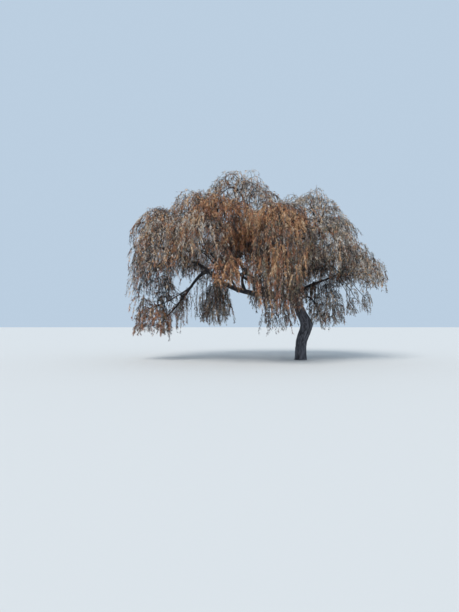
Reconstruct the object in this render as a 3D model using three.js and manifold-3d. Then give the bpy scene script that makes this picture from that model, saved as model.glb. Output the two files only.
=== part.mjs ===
// A weeping tree in autumn, rooted in level ground: a short kinked trunk, the
// boughs that fan out of its fork, and the hanging masses of foliage that they
// carry round the open space under the crown.
// Units are millimetres, +Z is up, the origin is the middle of the flat cut
// under the trunk, and -Y is the side that faces the viewer.
// Sizes in the tables below are in metres.
import * as THREE from "three";
import { mergeVertices } from "three/addons/utils/BufferGeometryUtils.js";
import Module from "manifold-3d";

const wasm = await Module();
wasm.setup();

const METRE = 1000;
const GAP = 1.5; // millimetres of air kept between any two solids

// ---------------------------------------------------------------- trunk
const TRUNK_SIDES = 14;
const TRUNK_RINGS = 18;
const TRUNK_LINE = [
  // x, y, z of the pith, from the ground to the fork
  [0.0, 0.0, 0.0],
  [0.0, 0.0, 0.5],
  [0.045, 0.0, 0.85],
  [0.15, 0.005, 1.18],
  [0.25, 0.01, 1.46],
  [0.29, 0.01, 1.68],
  [0.2, 0.0, 1.9],
  [0.06, 0.0, 2.15],
  [-0.09, -0.01, 2.5],
  [-0.3, 0.0, 2.95],
  [-0.42, 0.0, 3.25],
];
const TRUNK_RADIUS = [0.252, 0.25, 0.252, 0.276, 0.278, 0.29, 0.27, 0.252, 0.226, 0.205, 0.19];
const FLARE = 0.18; // extra radius at the ground, as a share
const FLARE_HEIGHT = 0.16; // height over which the flare dies away
const BUTTRESSES = 5; // root swellings round the foot

// ---------------------------------------------------------------- boughs
// from, two pull points and to (a cubic curve), then the two end radii.
const BOUGH_SIDES = 6;
const BOUGH_STEPS = 8;
const BOUGHS = {
  bough_left_inner: [[-0.2, 0.0, 2.88], [-1.8, -0.1, 3.12], [-3.1, -0.2, 2.93], [-4.22, -0.3, 4.08], 0.15, 0.085],
  bough_centre: [[-0.38, 0.0, 3.1], [-0.75, 0.05, 4.1], [-1.7, 0.1, 4.9], [-2.35, 0.1, 6.5], 0.155, 0.09],
  bough_right: [[-0.33, 0.02, 3.0], [-0.1, 0.1, 3.9], [0.45, 0.3, 4.5], [0.8, 0.4, 6.0], 0.125, 0.07],
  bough_right_outer: [[-0.2, 0.0, 2.85], [0.3, 0.0, 3.85], [1.1, 0.1, 3.35], [2.55, 0.25, 4.55], 0.068, 0.034],
  bough_right_low: [[-0.1, -0.06, 2.72], [0.5, -0.15, 3.35], [0.66, -0.2, 2.55], [1.1, -0.2, 1.75], 0.05, 0.025],
  bough_front_low: [[-0.25, -0.05, 2.7], [-0.5, -0.6, 3.3], [-0.8, -0.95, 3.75], [-1.2, -1.35, 3.2], 0.07, 0.035],
  bough_front: [[-0.36, -0.05, 3.0], [-0.45, -0.9, 3.8], [-0.9, -1.6, 4.4], [-1.2, -2.1, 5.95], 0.105, 0.055],
  bough_back: [[-0.36, 0.05, 3.0], [-0.5, 0.9, 3.8], [-0.9, 1.7, 4.3], [-1.1, 2.4, 5.6], 0.11, 0.055],
  bough_front_left: [[-1.5, -0.08, 3.04], [-2.2, -1.0, 3.6], [-3.1, -1.7, 4.2], [-3.7, -2.0, 5.9], 0.08, 0.045],
  bough_front_mid: [[-2.95, -0.18, 3.2], [-3.05, -1.0, 3.3], [-3.35, -1.8, 3.75], [-3.65, -2.8, 4.1], 0.06, 0.035],
  bough_back_left: [[-1.1, -0.04, 3.02], [-2.0, 1.0, 3.6], [-3.0, 1.6, 4.1], [-3.9, 2.2, 5.3], 0.085, 0.045],
  bough_riser: [[-2.6, -0.17, 3.2], [-2.95, -0.3, 3.9], [-2.6, -0.32, 4.2], [-1.9, -0.4, 4.7], 0.07, 0.045],
  bough_left_high: [[-4.0, -0.29, 3.85], [-4.6, -0.3, 4.55], [-5.3, -0.15, 4.6], [-6.1, 0.0, 5.2], 0.065, 0.045],
  bough_left_outer: [[-4.25, -0.3, 4.1], [-4.88, -0.3, 4.16], [-5.1, -0.3, 3.1], [-6.35, -0.3, 1.9], 0.08, 0.028],
  bough_left_fork: [[-5.04, -0.3, 3.42], [-5.3, -0.22, 3.28], [-5.6, -0.15, 3.05], [-6.5, 0.0, 2.6], 0.04, 0.02],
};

// ---------------------------------------------------------------- foliage
// Each mass: middle x and y, top z, bottom z, half width in x and in y, how
// straight it hangs (0 is a rounded cushion, 1 a curtain) and the seed of its
// lumps. Two masses that meet share one flat face, with the gap between them.
const MASS_SIDES = 12;
const MASS_RINGS = 8;
const CUSHION = [
  // share of the half width, share of the height, from its top to its underside
  [0, 1], [0.44, 0.96], [0.78, 0.84], [0.96, 0.66], [1, 0.47], [0.92, 0.29], [0.74, 0.13], [0.4, 0.03], [0, 0.0],
];
const CURTAIN = [
  [0, 1], [0.46, 0.97], [0.82, 0.88], [0.98, 0.74], [1, 0.55], [0.97, 0.34], [0.9, 0.12], [0.56, 0.0], [0, 0.03],
];
const LUMPS = 0.13; // depth of its lumps, as a share of its half width
const FOLDS = 0.07; // depth of its upright folds, as a share of its half width
const HEM = 0.13; // unevenness of its lower edge, as a share of its height
const MASSES = {
  top_left: [-2.8, 0.1, 8.78, 5.6, 1.68, 1.75, 0.1, 22],
  top_right: [0.52, 0.4, 8.12, 5.1, 1.42, 1.65, 0.2, 74],
  top_saddle: [-0.9, 0.1, 7.72, 4.9, 0.95, 1.35, 0.2, 27],
  shoulder_left: [-4.65, -0.2, 7.9, 5.1, 1.29, 1.65, 0.2, 26],
  shoulder_far_left: [-6.12, 0.0, 7.15, 4.5, 1.2, 1.65, 0.3, 74],
  shoulder_right: [1.54, 0.1, 6.98, 3.9, 0.78, 1.5, 0.7, 36],
  upper_front: [-1.2, -1.8, 7.0, 5.15, 1.4, 1.3, 0.3, 6],
  upper_back: [-0.9, 2.2, 7.5, 4.85, 1.7, 1.35, 0.3, 7],
  upper_front_left: [-3.75, -1.9, 7.2, 5.2, 1.5, 1.3, 0.3, 8],
  upper_back_left: [-3.95, 2.1, 7.45, 4.7, 1.65, 1.3, 0.3, 9],
  curtain_far_left: [-6.9, -0.1, 6.6, 2.75, 0.68, 1.35, 0.9, 80],
  low_far_left: [-6.9, -0.25, 3.2, 0.95, 0.8, 0.95, 0.0, 11],
  curtain_left_front: [-6.3, -1.8, 6.6, 3.5, 0.88, 1.1, 0.8, 12],
  strand_left: [-6.18, -1.22, 3.95, 2.6, 0.34, 0.42, 0.5, 30],
  curtain_front_left: [-4.6, -2.85, 6.5, 4.2, 1.15, 1.0, 0.8, 13],
  curtain_front: [-3.7, -3.0, 4.75, 3.2, 0.68, 0.9, 0.6, 14],
  curtain_front_right: [-1.32, -2.95, 6.6, 2.15, 0.92, 0.95, 1, 15],
  curtain_right_front: [0.75, -2.0, 6.4, 3.9, 1.15, 1.1, 0.8, 16],
  curtain_right: [2.38, -0.3, 5.63, 3.4, 0.8, 1.3, 0.8, 17],
  tip_right: [3.45, 0.1, 4.95, 3.25, 0.45, 0.85, 0.6, 18],
  curtain_right_back: [2.05, 2.0, 6.0, 3.7, 1.1, 1.15, 0.8, 19],
  curtain_back_right: [0.9, 3.3, 6.4, 3.9, 1.1, 1.0, 0.9, 20],
  curtain_back: [-0.85, 3.55, 6.7, 3.45, 1.0, 0.95, 0.8, 21],
  curtain_back_left: [-4.0, 3.3, 6.5, 4.2, 1.2, 1.0, 0.7, 22],
  curtain_left_back: [-6.0, 2.1, 6.6, 4.1, 1.15, 1.15, 0.7, 23],
  tail_left: [-3.98, -0.3, 3.95, 1.55, 0.68, 0.58, -0.5, 24],
  tail_middle: [-1.32, -1.4, 3.6, 1.15, 0.56, 0.7, -0.3, 25],
  tail_right: [1.27, 0.0, 3.8, 1.35, 0.78, 0.82, -0.5, 26],
  strand_right: [2.4, 0.0, 4.1, 2.05, 0.26, 0.4, 0.6, 28],
  strand_far_right: [3.1, 0.0, 3.65, 2.25, 0.26, 0.36, 0.6, 29],
};

// ---------------------------------------------------------------- shapes
const mix = (a, b, t) => a + (b - a) * t;

// A smooth wandering value in -1..1 over a direction, the same on every run.
function wander(x, y, z, seed) {
  const s = seed * 2.399;
  return (
    (Math.sin(2.1 * x + 1.3 * y + s) +
      Math.sin(2.7 * y - 1.9 * z + 1.7 * s) +
      Math.sin(3.3 * z + 2.3 * x - 0.6 * s) +
      0.6 * Math.sin(5.1 * x - 4.3 * y + 3.1 * s) +
      0.6 * Math.sin(4.7 * y + 5.3 * z - 2.2 * s)) /
    4.2
  );
}

// Moves every vertex of a three.js geometry by place(x, y, z) and closes it.
function shaped(geometry, place) {
  const g = geometry.clone();
  for (const name of ["normal", "uv"]) g.deleteAttribute(name);
  const at = mergeVertices(g, 1e-5);
  const p = at.getAttribute("position");
  for (let i = 0; i < p.count; i++) {
    const q = place(p.getX(i), p.getY(i), p.getZ(i));
    p.setXYZ(i, q[0], q[1], q[2]);
  }
  return at;
}

// A closed geometry as a solid, for cutting.
function solid(geometry) {
  const g = mergeVertices(geometry, 1e-3);
  const made = new wasm.Manifold(
    new wasm.Mesh({
      numProp: 3,
      vertProperties: new Float32Array(g.getAttribute("position").array),
      triVerts: new Uint32Array(g.index.array),
    }),
  );
  if (made.volume() < 0) throw new Error("a shape is inside out");
  return made;
}

// A solid as a three.js geometry again.
function geometryOf(made) {
  const m = made.getMesh();
  const n = m.numProp;
  const v = new Float32Array(m.numVert * 3);
  for (let i = 0; i < m.numVert; i++)
    v.set(m.vertProperties.subarray(i * n, i * n + 3), i * 3);
  const g = new THREE.BufferGeometry()
    .setAttribute("position", new THREE.BufferAttribute(v, 3))
    .setIndex(new THREE.BufferAttribute(new Uint32Array(m.triVerts), 1));
  g.computeVertexNormals();
  return g;
}

// The trunk: level rings up the pith, so that its foot is one flat cut.
const trunkCurve = new THREE.CatmullRomCurve3(
  TRUNK_LINE.map(([x, y, z]) => new THREE.Vector3(x, y, z)),
  false,
  "centripetal",
);
function trunkAt(z) {
  let lo = 0;
  let hi = 1;
  for (let i = 0; i < 40; i++) {
    const t = (lo + hi) / 2;
    if (trunkCurve.getPoint(t).z < z) lo = t;
    else hi = t;
  }
  const t = (lo + hi) / 2;
  const p = trunkCurve.getPoint(t);
  const k = Math.min(t * (TRUNK_RADIUS.length - 1), TRUNK_RADIUS.length - 1.001);
  const i = Math.floor(k);
  return { p, r: mix(TRUNK_RADIUS[i], TRUNK_RADIUS[i + 1], k - i) };
}
function trunkGeometry(grow = 0) {
  const top = TRUNK_LINE[TRUNK_LINE.length - 1][2];
  const column = new THREE.CylinderGeometry(1, 1, 1, TRUNK_SIDES, TRUNK_RINGS);
  return shaped(column, (x, y, z) => {
    const share = y + 0.5;
    const height = top * Math.pow(share, 1.15);
    const { p, r } = trunkAt(height);
    const angle = Math.atan2(x, z);
    const across = Math.hypot(x, z);
    const flare =
      1 +
      FLARE *
        Math.exp(-height / FLARE_HEIGHT) *
        (0.72 + 0.28 * Math.cos(BUTTRESSES * angle + 0.7));
    const lumps = 1 + 0.035 * wander(Math.cos(angle), Math.sin(angle), height * 1.4, 31);
    const radius = (r * flare * lumps + grow / METRE) * across;
    return [
      (p.x + radius * Math.sin(angle)) * METRE,
      (p.y - radius * Math.cos(angle)) * METRE,
      height * METRE + (share > 0.999 ? grow : 0),
    ];
  });
}

// A bough: a column laid along a cubic curve, tapering to its far end.
function boughGeometry([a, b, c, d, r0, r1], grow = 0) {
  const curve = new THREE.CubicBezierCurve3(
    ...[a, b, c, d].map(([x, y, z]) => new THREE.Vector3(x, y, z)),
  );
  const frames = curve.computeFrenetFrames(BOUGH_STEPS, false);
  const column = new THREE.CylinderGeometry(1, 1, 1, BOUGH_SIDES, BOUGH_STEPS);
  return shaped(column, (x, y, z) => {
    const t = y + 0.5;
    const i = Math.round(t * BOUGH_STEPS);
    const p = curve.getPointAt(t);
    const r = mix(r0, r1, t) + grow / METRE;
    const n = frames.normals[i];
    const w = frames.binormals[i];
    const end = i === 0 ? -grow : i === BOUGH_STEPS ? grow : 0;
    return [0, 1, 2].map(
      (k) =>
        (p.getComponent(k) +
          r * (x * n.getComponent(k) - z * w.getComponent(k))) *
          METRE +
        end * frames.tangents[i].getComponent(k),
    );
  });
}

// A mass of foliage: a ball drawn out to the profile, with folds and a hem.
function massGeometry([x0, y0, top, bottom, rx, ry, hang, seed], grow = 0) {
  const ball = new THREE.SphereGeometry(1, MASS_SIDES, MASS_RINGS);
  const g = grow / METRE;
  const folds = 3 + (seed % 3);
  return shaped(ball, (x, y, z) => {
    const ring = Math.round((Math.acos(Math.max(-1, Math.min(1, y))) / Math.PI) * MASS_RINGS);
    const angle = Math.atan2(-z, x);
    const flat = Math.hypot(x, z) > 1e-6 ? 1 : 0;
    const wide = mix(CUSHION[ring][0], CURTAIN[ring][0], hang);
    const level = mix(CUSHION[ring][1], CURTAIN[ring][1], hang);
    const c = Math.cos(angle) * flat;
    const s = Math.sin(angle) * flat;
    const bulge =
      1 +
      LUMPS * wander(1.6 * c, 1.6 * s, 2.4 * level, seed) +
      FOLDS * Math.cos(folds * angle + 1.9 * seed + 1.1 * level);
    const low = Math.max(0, ring - 4) / (MASS_RINGS - 4);
    const high = Math.sin((Math.PI * Math.min(ring, 4)) / 4);
    const drop = HEM * low * (wander(2.2 * c, 2.2 * s, 0.3, seed + 5) * 0.8 + 0.45);
    const lift = 0.06 * high * wander(2 * c, 2 * s, 1.7, seed + 9);
    const height = bottom + (top - bottom) * (level + lift + Math.max(0, drop));
    return [
      (x0 + c * wide * (rx * bulge + g)) * METRE,
      (y0 + s * wide * (ry * bulge + g)) * METRE,
      (height + (ring < 4 ? g : -g)) * METRE,
    ];
  });
}

// ---------------------------------------------------------------- assembly
const bark = new THREE.MeshStandardMaterial({ color: 0x3a332e, roughness: 0.95, metalness: 0 });
const foliage = new THREE.MeshStandardMaterial({ color: 0x80583a, roughness: 0.9, metalness: 0 });

const tree = new THREE.Group();
tree.name = "tree";
function add(name, geometry, material) {
  const mesh = new THREE.Mesh(geometry, material);
  mesh.name = name;
  tree.add(mesh);
}

// The one piece of a cut solid that comes nearest to a point.
function pieceAt(made, [x, y, z]) {
  const parts = made.decompose();
  let best = null;
  let least = Infinity;
  for (const part of parts) {
    const v = part.getMesh().vertProperties;
    for (let i = 0; i < v.length; i += 3) {
      const d = Math.hypot(v[i] - x * METRE, v[i + 1] - y * METRE, v[i + 2] - z * METRE);
      if (d < least) [least, best] = [d, part];
    }
  }
  return best;
}
const largest = (made) =>
  made.decompose().sort((p, q) => q.volume() - p.volume())[0];

const trunkGeom = trunkGeometry();
add("trunk", trunkGeom, bark);
const trunkCutter = solid(trunkGeometry(GAP));

// Masses that run into each other are parted by the flat face between them.
const FAR = 20;
function beyond(point, normal, gap) {
  const block = new THREE.BoxGeometry(FAR * METRE, FAR * METRE, FAR * METRE);
  block.translate(0, 0, (FAR * METRE) / 2 + gap);
  const turn = new THREE.Quaternion().setFromUnitVectors(new THREE.Vector3(0, 0, 1), normal);
  block.applyQuaternion(turn).translate(point.x, point.y, point.z);
  for (const name of ["normal", "uv"]) block.deleteAttribute(name);
  return solid(block);
}
const masses = Object.entries(MASSES).map(([name, sizes]) => ({
  name: "foliage_" + name,
  sizes,
  body: solid(massGeometry(sizes)),
  cutter: solid(massGeometry(sizes, GAP)),
}));
const whole = masses.map((m) => m.body);
for (let i = 0; i < masses.length; i++) {
  for (let j = i + 1; j < masses.length; j++) {
    const common = whole[i].intersect(whole[j]);
    if (common.isEmpty() || common.volume() < 1) continue;
    const v = common.getMesh().vertProperties;
    const point = new THREE.Vector3();
    for (let k = 0; k < v.length; k += 3)
      point.add(new THREE.Vector3(v[k], v[k + 1], v[k + 2]));
    point.divideScalar(v.length / 3);
    const [p, q] = [masses[i].sizes, masses[j].sizes];
    const normal = new THREE.Vector3(
      (q[0] - p[0]) / (p[4] + q[4]) ** 2,
      (q[1] - p[1]) / (p[5] + q[5]) ** 2,
      (2 * (q[2] + q[3] - p[2] - p[3])) / (p[2] - p[3] + q[2] - q[3]) ** 2,
    ).normalize();
    const back = normal.clone().negate();
    for (const [m, way] of [[masses[i], normal], [masses[j], back]]) {
      m.body = m.body.subtract(beyond(point, way, -GAP));
      m.cutter = m.cutter.subtract(beyond(point, way, 0));
    }
  }
}
for (const m of masses)
  add(m.name, geometryOf(largest(m.body.subtract(trunkCutter))), foliage);

const boughCutters = [trunkCutter];
for (const [name, sizes] of Object.entries(BOUGHS)) {
  let made = solid(boughGeometry(sizes));
  for (const cutter of boughCutters) made = made.subtract(cutter);
  for (const m of masses) made = made.subtract(m.cutter);
  const start = new THREE.CubicBezierCurve3(
    ...sizes.slice(0, 4).map(([x, y, z]) => new THREE.Vector3(x, y, z)),
  ).getPointAt(0.15);
  add(name, geometryOf(pieceAt(made, start.toArray())), bark);
  boughCutters.push(solid(boughGeometry(sizes, GAP)));
}

export default tree;
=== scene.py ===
"""A weeping tree in late autumn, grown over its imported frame.

The trunk and the boughs are made from the same named sizes as the frame's own solids. Branches grow on from the
boughs by a seeded branching rule. They carry arching shoots, each shoot carries hanging withies, and the leaves sit
along the withies in sprays of one plain colour each. All lengths are in metres.
"""

import math
import time

import bpy
import numpy as np
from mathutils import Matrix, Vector
from mathutils.bvhtree import BVHTree


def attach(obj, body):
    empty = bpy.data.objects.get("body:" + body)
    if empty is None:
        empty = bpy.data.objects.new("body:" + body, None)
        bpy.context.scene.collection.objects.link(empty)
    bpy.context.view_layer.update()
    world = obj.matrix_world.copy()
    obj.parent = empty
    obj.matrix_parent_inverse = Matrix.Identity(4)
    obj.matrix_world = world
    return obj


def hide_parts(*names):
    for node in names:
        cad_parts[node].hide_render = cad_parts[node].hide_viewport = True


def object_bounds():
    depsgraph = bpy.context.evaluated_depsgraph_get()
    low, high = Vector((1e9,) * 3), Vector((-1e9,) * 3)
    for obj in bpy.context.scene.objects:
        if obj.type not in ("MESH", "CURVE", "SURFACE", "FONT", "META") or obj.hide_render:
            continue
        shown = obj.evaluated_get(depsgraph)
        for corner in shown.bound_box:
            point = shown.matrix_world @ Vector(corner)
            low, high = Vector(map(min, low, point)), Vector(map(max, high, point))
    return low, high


T0 = time.perf_counter()
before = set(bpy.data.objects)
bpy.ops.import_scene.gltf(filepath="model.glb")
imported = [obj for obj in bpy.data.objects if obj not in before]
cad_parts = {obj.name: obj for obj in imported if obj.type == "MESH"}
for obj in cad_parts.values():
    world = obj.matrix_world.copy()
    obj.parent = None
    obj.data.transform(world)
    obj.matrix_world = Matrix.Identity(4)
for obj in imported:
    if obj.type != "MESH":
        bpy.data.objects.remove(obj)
CAD_BOX = [list(map(float, c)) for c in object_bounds()]
LOW, HIGH = (np.array(c) for c in CAD_BOX)

# ------------------------------------------------------------------ sizes
TRUNK_LINE = [
    (0.0, 0.0, 0.0), (0.0, 0.0, 0.5), (0.045, 0.0, 0.85), (0.15, 0.005, 1.18), (0.25, 0.01, 1.46),
    (0.29, 0.01, 1.68), (0.2, 0.0, 1.9), (0.06, 0.0, 2.15), (-0.09, -0.01, 2.5), (-0.3, 0.0, 2.95), (-0.42, 0.0, 3.25),
]
TRUNK_RADIUS = [0.252, 0.25, 0.252, 0.276, 0.278, 0.29, 0.27, 0.252, 0.226, 0.205, 0.19]
FLARE, FLARE_HEIGHT, BUTTRESSES = 0.18, 0.16, 5
BOUGHS = {  # from, two pull points, to, then the two end radii
    "left_inner": [(-0.2, 0.0, 2.88), (-1.8, -0.1, 3.12), (-3.1, -0.2, 2.93), (-4.22, -0.3, 4.08), 0.15, 0.085],
    "centre": [(-0.38, 0.0, 3.1), (-0.75, 0.05, 4.1), (-1.7, 0.1, 4.9), (-2.35, 0.1, 6.5), 0.155, 0.09],
    "right": [(-0.33, 0.02, 3.0), (-0.1, 0.1, 3.9), (0.45, 0.3, 4.5), (0.8, 0.4, 6.0), 0.125, 0.07],
    "right_outer": [(-0.2, 0.0, 2.85), (0.3, 0.0, 3.85), (1.1, 0.1, 3.35), (2.55, 0.25, 4.55), 0.068, 0.034],
    "right_low": [(-0.1, -0.06, 2.72), (0.5, -0.15, 3.35), (0.66, -0.2, 2.55), (1.1, -0.2, 1.75), 0.05, 0.025],
    "front_low": [(-0.25, -0.05, 2.7), (-0.5, -0.6, 3.3), (-0.8, -0.95, 3.75), (-1.2, -1.35, 3.2), 0.07, 0.035],
    "front": [(-0.36, -0.05, 3.0), (-0.45, -0.9, 3.8), (-0.9, -1.6, 4.4), (-1.2, -2.1, 5.95), 0.105, 0.055],
    "back": [(-0.36, 0.05, 3.0), (-0.5, 0.9, 3.8), (-0.9, 1.7, 4.3), (-1.1, 2.4, 5.6), 0.11, 0.055],
    "front_left": [(-1.5, -0.08, 3.04), (-2.2, -1.0, 3.6), (-3.1, -1.7, 4.2), (-3.7, -2.0, 5.9), 0.08, 0.045],
    "front_mid": [(-2.95, -0.18, 3.2), (-3.05, -1.0, 3.3), (-3.35, -1.8, 3.75), (-3.65, -2.8, 4.1), 0.06, 0.035],
    "back_left": [(-1.1, -0.04, 3.02), (-2.0, 1.0, 3.6), (-3.0, 1.6, 4.1), (-3.9, 2.2, 5.3), 0.085, 0.045],
    "riser": [(-2.6, -0.17, 3.2), (-2.95, -0.3, 3.9), (-2.6, -0.32, 4.2), (-1.9, -0.4, 4.7), 0.07, 0.045],
    "left_high": [(-4.0, -0.29, 3.85), (-4.6, -0.3, 4.55), (-5.3, -0.15, 4.6), (-6.1, 0.0, 5.2), 0.065, 0.045],
    "left_outer": [(-4.25, -0.3, 4.1), (-4.88, -0.3, 4.16), (-5.1, -0.3, 3.1), (-6.35, -0.3, 1.9), 0.08, 0.028],
    "left_fork": [(-5.04, -0.3, 3.42), (-5.3, -0.22, 3.28), (-5.6, -0.15, 3.05), (-6.5, 0.0, 2.6), 0.04, 0.02],
}

# Each mass: arching shoots, withies on each, a shoot's length, shortest and longest withy, leaves a metre,
# share of withies that trail below the hem and by how much, range of tints, and how loosely its withies arch
# (0 is a straight curtain, 1 a fountain).
MASSES = {
    "top_left": (88, 7, 1.05, 0.3, 0.8, 16, 0.0, 0.0, "crown", 1.0),
    "top_right": (70, 7, 1.0, 0.3, 0.85, 14, 0.0, 0.0, "grey", 1.0),
    "top_saddle": (20, 7, 0.9, 0.3, 0.8, 24, 0.0, 0.0, "crown", 1.0),
    "shoulder_left": (44, 7, 1.0, 0.3, 0.85, 20, 0.0, 0.0, "mixed", 0.9),
    "shoulder_far_left": (42, 7, 1.0, 0.3, 0.85, 19, 0.0, 0.0, "mixed", 0.9),
    "shoulder_right": (32, 7, 0.9, 0.35, 1.0, 16, 0.08, 0.5, "grey", 0.5),
    "upper_front": (42, 7, 1.0, 0.35, 0.95, 32, 0.18, 0.7, "warm", 0.8),
    "upper_back": (50, 7, 1.1, 0.35, 1.05, 19, 0.06, 0.5, "grey", 0.8),
    "upper_front_left": (46, 7, 1.0, 0.35, 0.9, 31, 0.18, 0.7, "warm", 0.85),
    "upper_back_left": (48, 7, 1.1, 0.35, 1.05, 19, 0.06, 0.5, "mixed", 0.8),
    "curtain_far_left": (34, 7, 0.75, 0.35, 1.1, 19, 0.26, 0.5, "mixed", 0.6),
    "low_far_left": (30, 7, 0.6, 0.3, 0.8, 30, 0.1, 0.25, "rust", 0.6),
    "curtain_left_front": (34, 7, 0.85, 0.4, 1.1, 21, 0.2, 0.8, "mixed", 0.6),
    "strand_left": (7, 7, 0.4, 0.4, 0.9, 28, 0.1, 0.2, "rust", 0.4),
    "curtain_front_left": (42, 7, 0.9, 0.35, 1.0, 27, 0.2, 0.85, "mixed", 0.7),
    "curtain_front": (30, 7, 0.8, 0.35, 0.85, 38, 0.08, 0.3, "warm", 0.6),
    "curtain_front_right": (42, 7, 0.8, 0.6, 1.7, 34, 0.2, 0.45, "gold", 0.2),
    "curtain_right_front": (42, 7, 0.9, 0.4, 1.1, 25, 0.24, 0.65, "grey", 0.6),
    "curtain_right": (32, 7, 0.8, 0.4, 1.1, 22, 0.12, 0.5, "grey", 0.5),
    "tip_right": (14, 7, 0.55, 0.35, 0.8, 22, 0.12, 0.3, "grey", 0.5),
    "curtain_right_back": (36, 7, 0.9, 0.4, 1.2, 23, 0.1, 0.4, "grey", 0.6),
    "curtain_back_right": (34, 7, 0.9, 0.5, 1.5, 22, 0.1, 0.4, "mixed", 0.5),
    "curtain_back": (30, 7, 0.9, 0.5, 1.5, 23, 0.1, 0.4, "mixed", 0.5),
    "curtain_back_left": (34, 7, 0.9, 0.45, 1.3, 19, 0.1, 0.4, "mixed", 0.6),
    "curtain_left_back": (34, 7, 0.9, 0.45, 1.3, 18, 0.1, 0.4, "mixed", 0.6),
    "tail_left": (27, 7, 0.4, 0.4, 1.1, 30, 0.16, 0.25, "dusk", 0.2),
    "tail_middle": (13, 7, 0.5, 0.4, 1.0, 22, 0.15, 0.3, "dark", 0.3),
    "tail_right": (25, 7, 0.5, 0.4, 1.05, 23, 0.12, 0.3, "dusk", 0.4),
    "strand_right": (5, 6, 0.3, 0.4, 1.1, 19, 0.2, 0.2, "dusk", 0.2),
    "strand_far_right": (5, 6, 0.3, 0.4, 1.0, 16, 0.2, 0.2, "dusk", 0.2),
}
# Withies that hang straight from a bough: from and to as shares of its length, count, shortest, longest,
# leaves a metre, range of tints, the mass they are counted with.
BARE_STRETCHES = [
    ("left_outer", 0.4, 0.8, 36, 0.4, 1.5, 19, "rust", "low_far_left"),
    ("left_outer", 0.8, 1.0, 14, 0.3, 0.75, 19, "rust", "low_far_left"),
    ("left_outer", 0.02, 0.4, 8, 0.3, 0.7, 16, "mixed", "low_far_left"),
    ("left_outer", 0.16, 0.4, 10, 1.2, 2.1, 13, "dusk", "low_far_left"),
    ("left_fork", 0.1, 1.0, 20, 0.4, 1.3, 18, "dusk", "low_far_left"),
    ("centre", 0.3, 0.95, 110, 0.25, 0.85, 34, "dark", "upper_front"),
    ("front_left", 0.35, 0.9, 30, 0.25, 0.7, 30, "dark", "upper_front_left"),
    ("left_inner", 0.78, 1.0, 34, 0.4, 1.3, 26, "dusk", "tail_left"),
    ("left_outer", 0.0, 0.08, 5, 0.4, 1.1, 22, "dusk", "tail_left"),
    ("left_high", 0.1, 0.55, 34, 0.12, 0.34, 30, "dark", "low_far_left"),
    ("left_high", 0.35, 0.95, 44, 0.35, 1.15, 19, "dusk", "low_far_left"),
    ("left_inner", 0.28, 0.52, 12, 0.25, 0.9, 20, "dark", "tail_middle"),
    ("riser", 0.45, 1.0, 12, 0.12, 0.4, 16, "dark", "tail_left"),
    ("right_low", 0.5, 1.0, 16, 0.3, 0.9, 22, "dusk", "tail_right"),
    ("right_outer", 0.06, 0.45, 64, 0.3, 0.95, 26, "dark", "tail_right"),
    ("right", 0.15, 0.5, 34, 0.5, 1.3, 26, "dark", "tail_right"),
    ("front_low", 0.08, 0.35, 14, 0.6, 1.4, 26, "gold", "curtain_front_right"),
    ("right_outer", 0.5, 0.8, 28, 0.4, 1.2, 22, "dusk", "tail_right"),
    ("right_outer", 0.7, 0.98, 20, 0.3, 1.1, 18, "dusk", "strand_right"),
    ("front_low", 0.4, 1.0, 10, 0.4, 1.3, 24, "dusk", "tail_middle"),
]
# Withies that hang from thin branches inside the crown, their leaves in the dark range as painted shade: how many,
# shortest, longest, leaves a metre.
INNER = (560, 0.3, 0.95, 29)
# Shoots that fill a corner of the outline: their mass, from, to, half depth, how many.
CORNERS = [
    ("shoulder_far_left", (-6.6, -0.1, 7.25), (-7.6, -0.1, 6.35), 0.9, 18),
    ("top_right", (2.0, 0.1, 6.95), (2.4, 0.1, 6.35), 0.8, 7),
    ("upper_front", (-3.4, -1.6, 5.95), (-2.5, -1.9, 5.45), 0.5, 13),
    ("upper_front", (-2.7, -1.3, 5.3), (-1.9, -1.6, 5.05), 0.4, 7),
    ("curtain_right_front", (0.2, -0.9, 4.3), (1.3, -1.0, 4.35), 0.3, 7),
]
# Withies at the near seam between two masses: from and to, how many, shortest, longest, leaves a metre.
SEAM = ((-3.5, -2.8, 5.1), (-2.3, -0.6, 6.3), 120, 0.4, 1.15, 28)
# A notch in the near hem, over the peak of the long low limb: from and to along X and along Y, bottom and top.
NOTCH = ((-4.85, -3.95), (-4.1, -0.5), (3.2, 4.3))
# Masses whose heads send thin shoots out of the outline, and how many.
WISPS = {
    "top_left": 32, "top_right": 28, "top_saddle": 6, "shoulder_left": 30, "shoulder_far_left": 26,
    "shoulder_right": 14, "curtain_far_left": 14, "curtain_right": 14, "tip_right": 8, "upper_back": 12,
    "upper_back_left": 12, "upper_front": 8, "upper_front_left": 8,
}

TOTAL_LEAVES = 302_000
LEAF_LENGTH, LEAF_WIDTH = 0.12, 0.0185
WITHY_RADIUS = 0.0042

# Plain tints of the dead and dying leaves, as linear base colours; the near-black leaf_shade is painted shade.
TINTS = {
    "leaf_rust": (0.27, 0.118, 0.070),
    "leaf_orange": (0.42, 0.195, 0.095),
    "leaf_amber": (0.54, 0.315, 0.165),
    "leaf_tan": (0.64, 0.46, 0.30),
    "leaf_pale": (0.58, 0.53, 0.475),
    "leaf_brown": (0.175, 0.108, 0.079),
    "leaf_dark": (0.052, 0.038, 0.037),
    "leaf_grey": (0.272, 0.242, 0.218),
    "leaf_olive": (0.19, 0.166, 0.116),
    "leaf_shade": (0.026, 0.027, 0.028),
}
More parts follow.
